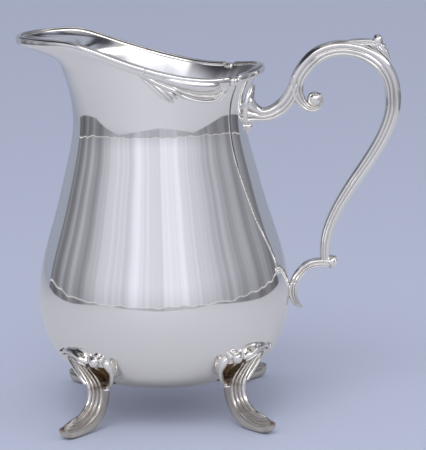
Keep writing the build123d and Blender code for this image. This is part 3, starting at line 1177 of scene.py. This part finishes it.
def nodeMix(tree, factor, a, b):
    node = tree.nodes.new("ShaderNodeMix")
    node.data_type = "RGBA"
    for name, value in (("Factor", factor), ("A", a), ("B", b)):
        if isinstance(value, (int, float, tuple)):
            node.inputs[name].default_value = value
        else:
            tree.links.new(value, node.inputs[name])
    return node.outputs["Result"]


def nodeRange(tree, value, low, high):
    # 0 below low, 1 above high
    node = tree.nodes.new("ShaderNodeMapRange")
    for name, v in (("From Min", low), ("From Max", high)):
        node.inputs[name].default_value = v
    tree.links.new(value, node.inputs["Value"])
    return node.outputs["Result"]


def nodeNoise(tree, where, scale, detail, alongLine=False):
    node = tree.nodes.new("ShaderNodeTexNoise")
    node.noise_dimensions = "1D" if alongLine else "3D"
    node.inputs["Scale"].default_value = scale
    node.inputs["Detail"].default_value = detail
    tree.links.new(where, node.inputs["W" if alongLine else "Vector"])
    return node.outputs["Fac"]


def nodeTimes(tree, a, b):
    # Two colours multiplied
    node = tree.nodes.new("ShaderNodeVectorMath")
    node.operation = "MULTIPLY"
    tree.links.new(a, node.inputs[0])
    tree.links.new(b, node.inputs[1])
    return node.outputs[0]


def newMaterial(name):
    material = bpy.data.materials.new(name)
    material.use_nodes = True
    nodes = material.node_tree.nodes
    return material, nodes, material.node_tree.links, nodes["Principled BSDF"]


def makeWearGroup():
    # Colour, roughness and surface of old silver plate
    group = bpy.data.node_groups.new("silverWear", "ShaderNodeTree")
    for name, value in (
        ("Crease", 0.0),
        ("Tarnish", 0.5),
        ("Haze", 0.1),
        ("Polish", 0.05),
        ("Scratches", 0.2),
    ):
        socket = group.interface.new_socket(
            name=name, in_out="INPUT", socket_type="NodeSocketFloat"
        )
        socket.default_value = value
    for name, kind in (("Color", "Color"), ("Roughness", "Float"), ("Normal", "Vector")):
        group.interface.new_socket(name=name, in_out="OUTPUT", socket_type="NodeSocket" + kind)
    link = group.links.new
    given = group.nodes.new("NodeGroupInput").outputs
    result = group.nodes.new("NodeGroupOutput").inputs
    place = group.nodes.new("ShaderNodeTexCoord").outputs["Object"]

    def combine(kind, a, b):
        return nodeMath(group, kind, a, b)

    cloud = nodeNoise(group, place, *silver["clouds"])
    spots = nodeNoise(group, place, *silver["spots"])
    lines = []
    for turn in silver["scratchTurns"]:
        spin = group.nodes.new("ShaderNodeMapping")
        spin.inputs["Rotation"].default_value = (turn, turn * 0.6, turn)
        spin.inputs["Scale"].default_value = silver["scratchScale"]
        link(place, spin.inputs["Vector"])
        grain = nodeNoise(group, spin.outputs["Vector"], 1, 2)
        lines.append(combine("GREATER_THAN", grain, silver["scratchLimit"]))
    scratch = combine("MULTIPLY", combine("ADD", *lines), given["Scratches"])

    mottleShare, mottleBase = silver["mottle"]
    mottle = combine("ADD", combine("MULTIPLY", cloud, mottleShare), mottleBase)
    tarnish = combine("MULTIPLY", combine("MULTIPLY", given["Crease"], mottle), given["Tarnish"])
    tarnish = combine("MINIMUM", tarnish, 1.0)
    haze = combine("MULTIPLY", cloud, given["Haze"])
    colour = nodeMix(group, haze, silver["plate"], silver["haze"])
    link(nodeMix(group, tarnish, colour, silver["tarnish"]), result["Color"])

    rough = given["Polish"]
    for mask, share in zip((cloud, tarnish, scratch), silver["roughness"]):
        rough = combine("ADD", rough, combine("MULTIPLY", mask, share))
    link(rough, result["Roughness"])

    scratchDepth, spotDepth = silver["relief"]
    height = combine(
        "ADD", combine("MULTIPLY", scratch, scratchDepth), combine("MULTIPLY", spots, spotDepth)
    )
    bump = group.nodes.new("ShaderNodeBump")
    bump.inputs["Strength"].default_value, bump.inputs["Distance"].default_value = silver["bump"]
    link(height, bump.inputs["Height"])
    link(bump.outputs["Normal"], result["Normal"])
    return group


wearGroup = makeWearGroup()


def silverMaterial(name, *amounts):
    material, nodes, links, shader = newMaterial(name)
    wear = nodes.new("ShaderNodeGroup")
    wear.node_tree = wearGroup
    for socket, amount in zip(("Tarnish", "Haze", "Polish", "Scratches"), amounts):
        wear.inputs[socket].default_value = amount
    crease = nodes.new("ShaderNodeAttribute")
    crease.attribute_name = "crease"
    links.new(crease.outputs["Fac"], wear.inputs["Crease"])
    links.new(wear.outputs["Color"], shader.inputs["Base Color"])
    links.new(wear.outputs["Roughness"], shader.inputs["Roughness"])
    links.new(wear.outputs["Normal"], shader.inputs["Normal"])
    shader.inputs["Metallic"].default_value = 1
    return material


polishedSheet, insideSheet, castSilver, footSilver = (
    silverMaterial(name, *amounts) for name, amounts in finishes.items()
)


def finishBody():
    mesh = bodyObject.data
    mesh.materials.append(polishedSheet)
    mesh.materials.append(insideSheet)
    first = outerRows * body["columns"]
    inner = np.array([min(face.vertices) >= first for face in mesh.polygons], int)
    mesh.polygons.foreach_set("material_index", inner)
    writeMask(mesh, "crease", np.zeros(len(mesh.vertices)))


finishBody()


def finish(obj, material, slot, *nodes):
    if material is not None:
        obj.data.materials.append(material)
        markCreases(obj)
    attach(obj, "root")
    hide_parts(*nodes)


finish(bodyObject, None, "sheet", "body_shell")
finish(spoutBorder, castSilver, "castings", "spout_border")
finish(backBorder, castSilver, "castings", "back_border")
finish(scrollNear, castSilver, "castings", "side_scroll_near")
finish(scrollFar, castSilver, "castings", "side_scroll_far")
finish(knuckleNear, castSilver, "castings", "rim_knuckle_near")
finish(knuckleFar, castSilver, "castings", "rim_knuckle_far")
finish(handleParts["scroll"], castSilver, "castings", "handle_scroll")
finish(handleParts["arm"], castSilver, "castings", "handle_arm")
finish(handleParts["bracket"], castSilver, "castings", "handle_bracket")
finish(handleParts["tail"], castSilver, "castings", "handle_tail")
finish(socketObject, footSilver, "castings", "handle_socket")
finish(thumbObject, castSilver, "castings", "thumb_rest")
for number, (leg, wings) in enumerate(feet, start=1):
    finish(leg, footSilver, "castings", f"foot_leg_{number}")
    finish(wings, footSilver, "castings", f"foot_plate_{number}")
print("materials on")


stage = {
    "floor": (0.57, 0.61, 0.755, 1),
    "paper": (0.67, 0.67, 0.71, 1),
    "backdrop": (0.35, 0.39, 0.49, 1),
    "farPaper": (0.46, 0.49, 0.58, 1),
    "ceiling": (0.42, 0.45, 0.55, 1),
    "ceilingFront": (0.56, 0.54, 0.53, 1),
    "ceilingDark": (0.04, 0.04, 0.05, 1),
    "behind": (0.34, 0.37, 0.46, 1),
    "fill": (0.62, 0.64, 0.70, 1),
    "softbox": 2.4,
    # The sheet of paper as the silver sees it: the front edge and its bow, then each side and
    # its slant
    "frontEdge": (0.90, 0.27),
    "leftEdge": (0.84, 0.75),
    "rightEdge": (0.73, 0.42),
    # Far edge of the table: a pale wavy line just under the horizon, darker below it
    "lineHeight": (-0.034, 0.035),
    "lineWidth": 0.008,
    "lineLight": 0.85,
    "belowLine": 0.72,
    # Curtain on the camera's side: degrees from the camera to the right, and how light it is
    "curtain": [
        (-150, 0.10),
        (-134, 0.12),
        (-125, 0.26),
        (-118, 0.20),
        (-110, 0.40),
        (-104, 0.25),
        (-97, 0.45),
        (-90, 0.36),
        (-83, 0.28),
        (-76, 0.48),
        (-62, 0.64),
        (-48, 0.70),
        (-38, 0.66),
        (-27, 0.92),
        (-20, 0.78),
        (-6, 0.74),
        (4, 0.84),
        (20, 0.88),
        (30, 0.70),
        (44, 0.62),
        (53, 0.55),
        (60, 0.44),
        (70, 0.46),
        (80, 0.34),
        (90, 0.42),
        (101, 0.28),
        (112, 0.36),
        (124, 0.22),
        (140, 0.16),
    ],
    "tint": (0.95, 0.97, 1.10),
    # Its folds: scale and detail, their share and the light between them, and the lift with height
    "folds": (13, 3.5),
    "foldLight": (0.5, 0.62),
    "foldLift": (-0.02, 0.22, 0.17),
    # Where one thing fades into the next, as directions: y is away from the camera, z is up
    "ceilingFrom": (0.46, 0.56),
    "boxLow": (0.445, 0.48),
    "boxHigh": (0.68, 0.62),
    "boxFront": (0.15, -0.05),
    "darkSide": (-0.3, -0.5),
    "ceilingFade": (0.2, -0.2),
    "behindFrom": (0.63, 0.66),
    "behindUnder": (0.34, 0.18),
    # Dark clouds on the ceiling: scale and detail, and where they end
    "clouds": (2.6, 2),
    "cloudEdge": (0.41, 0.49),
    "ripple": (5, 0),
    "lineFade": -0.004,
    "boxBlue": 1.02,
    # The floor: half its width in mm, and how far away the paper looks darker
    "floorReach": 4000,
    "farFade": (0.25, 0.9),
    "floorGloss": {"Roughness": 0.5, "Specular IOR Level": 0.3},
}
# The lamp: where it is, what it points at, its size and its power in watts
lamp = {"place": (-0.3, -1.0, 1.5), "aim": (0, -0.1, 0.1), "size": (1.2, 0.8), "power": 9}


def makeWorld():
    world = bpy.data.worlds.new("room")
    bpy.context.scene.world = world
    world.use_nodes = True
    tree = world.node_tree
    link = tree.links.new

    def combine(kind, *values):
        return nodeMath(tree, kind, *values)

    def fade(value, key):
        return nodeRange(tree, value, *stage[key])

    def grey(light):
        return (light, light, light, 1)

    way = tree.nodes.new("ShaderNodeTexCoord").outputs["Generated"]
    split = tree.nodes.new("ShaderNodeSeparateXYZ")
    link(way, split.inputs[0])
    x, y, z = split.outputs
    azimuth = combine("ARCTAN2", x, combine("MULTIPLY", y, -1.0))

    # The curtain and its folds
    ramp = tree.nodes.new("ShaderNodeValToRGB")
    ramp.color_ramp.interpolation = "EASE"
    elements = ramp.color_ramp.elements
    while len(elements) < len(stage["curtain"]):
        elements.new(0.5)
    for element, (degrees, light) in zip(elements, stage["curtain"]):
        element.position = degrees / 360 + 0.5
        element.color = (*(light * c for c in stage["tint"]), 1)
    link(combine("ADD", combine("DIVIDE", azimuth, 2 * math.pi), 0.5), ramp.inputs[0])
    folds = nodeNoise(tree, azimuth, *stage["folds"], alongLine=True)
    foldShare, foldBase = stage["foldLight"]
    low, high, lift = stage["foldLift"]
    folds = combine("ADD", combine("MULTIPLY", folds, foldShare), foldBase)
    folds = combine("ADD", folds, combine("MULTIPLY", nodeRange(tree, z, low, high), lift))
    curtain = nodeTimes(tree, ramp.outputs["Color"], folds)

    # The ceiling, with dark clouds and a dark side
    darkSide = fade(x, "darkSide")
    clouds = nodeNoise(tree, way, *stage["clouds"])
    ceiling = nodeMix(tree, fade(y, "ceilingFade"), stage["ceiling"], stage["ceilingFront"])
    ceiling = nodeMix(tree, fade(clouds, "cloudEdge"), stage["ceilingDark"], ceiling)
    ceiling = nodeMix(tree, darkSide, ceiling, stage["ceilingDark"])
    room = nodeMix(tree, fade(z, "ceilingFrom"), curtain, ceiling)

    # The wavy far edge of the table
    lineHeight, lineWave = stage["lineHeight"]
    ripple = nodeNoise(tree, azimuth, *stage["ripple"], alongLine=True)
    wave = combine("MULTIPLY", combine("SUBTRACT", ripple, 0.5), 2 * lineWave)
    height = combine("SUBTRACT", combine("SUBTRACT", z, lineHeight), wave)
    below = nodeRange(tree, height, 0.0, stage["lineFade"])
    room = nodeTimes(tree, room, nodeMix(tree, below, grey(1), grey(stage["belowLine"])))
    onLine = combine("LESS_THAN", combine("ABSOLUTE", height), stage["lineWidth"] / 2)
    room = nodeMix(tree, onLine, room, grey(stage["lineLight"]))

    # The backdrop's reflection, and the softbox over the camera
    behind = combine("MULTIPLY", fade(y, "behindFrom"), fade(z, "behindUnder"))
    room = nodeMix(tree, behind, room, stage["behind"])
    box = combine("MULTIPLY", fade(z, "boxLow"), fade(z, "boxHigh"))
    box = combine("MULTIPLY", box, fade(y, "boxFront"))
    box = combine("MULTIPLY", box, combine("SUBTRACT", 1.0, darkSide))
    light = stage["softbox"]
    room = nodeMix(tree, box, room, (light, light, light * stage["boxBlue"], 1))

    path = tree.nodes.new("ShaderNodeLightPath")
    shown = nodeMix(tree, path.outputs["Is Diffuse Ray"], room, stage["fill"])
    shown = nodeMix(tree, path.outputs["Is Camera Ray"], shown, stage["backdrop"])
    background = tree.nodes["Background"]
    link(shown, background.inputs["Color"])
    background.inputs["Strength"].default_value = 1


def makeFloor():
    reach = stage["floorReach"]
    corners = [(-reach, -reach, 0), (reach, -reach, 0), (reach, reach, 0), (-reach, reach, 0)]
    floor = makeObject("floor", corners, [(0, 1, 2, 3)], smooth=False)
    material, nodes, links, shader = newMaterial("floorPaper")
    tree = material.node_tree
    for name, value in stage["floorGloss"].items():
        shader.inputs[name].default_value = value
    where = nodes.new("ShaderNodeTexCoord")
    split = nodes.new("ShaderNodeSeparateXYZ")
    links.new(where.outputs["Object"], split.inputs[0])
    x, y, _ = split.outputs

    def combine(kind, *values):
        return nodeMath(tree, kind, *values)

    # The silver sees the floor only as far as the sheet of paper goes
    frontStart, frontBow = stage["frontEdge"]
    leftStart, leftSlant = stage["leftEdge"]
    rightStart, rightSlant = stage["rightEdge"]
    forward = combine("MINIMUM", y, 0.0)
    bow = combine("MULTIPLY", combine("ABSOLUTE", x), frontBow)
    front = combine("ADD", combine("ADD", y, frontStart), bow)
    leftEdge = combine("MULTIPLY", forward, leftSlant)
    left = combine("SUBTRACT", combine("ADD", x, leftStart), leftEdge)
    rightEdge = combine("MULTIPLY", forward, rightSlant)
    right = combine("SUBTRACT", combine("SUBTRACT", rightStart, x), rightEdge)
    past = combine("LESS_THAN", combine("MINIMUM", combine("MINIMUM", left, right), front), 0.0)
    path = nodes.new("ShaderNodeLightPath").outputs["Is Glossy Ray"]
    paper = nodeMix(
        tree, nodeRange(tree, y, *stage["farFade"]), stage["paper"], stage["farPaper"]
    )
    links.new(nodeMix(tree, path, stage["floor"], paper), shader.inputs["Base Color"])
    clear = nodes.new("ShaderNodeBsdfTransparent")
    mix = nodes.new("ShaderNodeMixShader")
    links.new(combine("MULTIPLY", past, path), mix.inputs[0])
    links.new(shader.outputs[0], mix.inputs[1])
    links.new(clear.outputs[0], mix.inputs[2])
    links.new(mix.outputs[0], nodes["Material Output"].inputs["Surface"])
    floor.data.materials.append(material)


def makeLamp():
    data = bpy.data.lights.new("frontSoftbox", "AREA")
    data.shape = "RECTANGLE"
    data.size, data.size_y = lamp["size"]
    data.energy = lamp["power"]
    obj = bpy.data.objects.new("frontSoftbox", data)
    bpy.context.scene.collection.objects.link(obj)
    obj.location = lamp["place"]
    away = Vector(lamp["aim"]) - Vector(lamp["place"])
    obj.rotation_euler = away.to_track_quat("-Z", "Y").to_euler()
    # The room already holds the softbox that the silver shows
    obj.visible_glossy = False


makeWorld()
makeFloor()
makeLamp()
print("stage and light set")
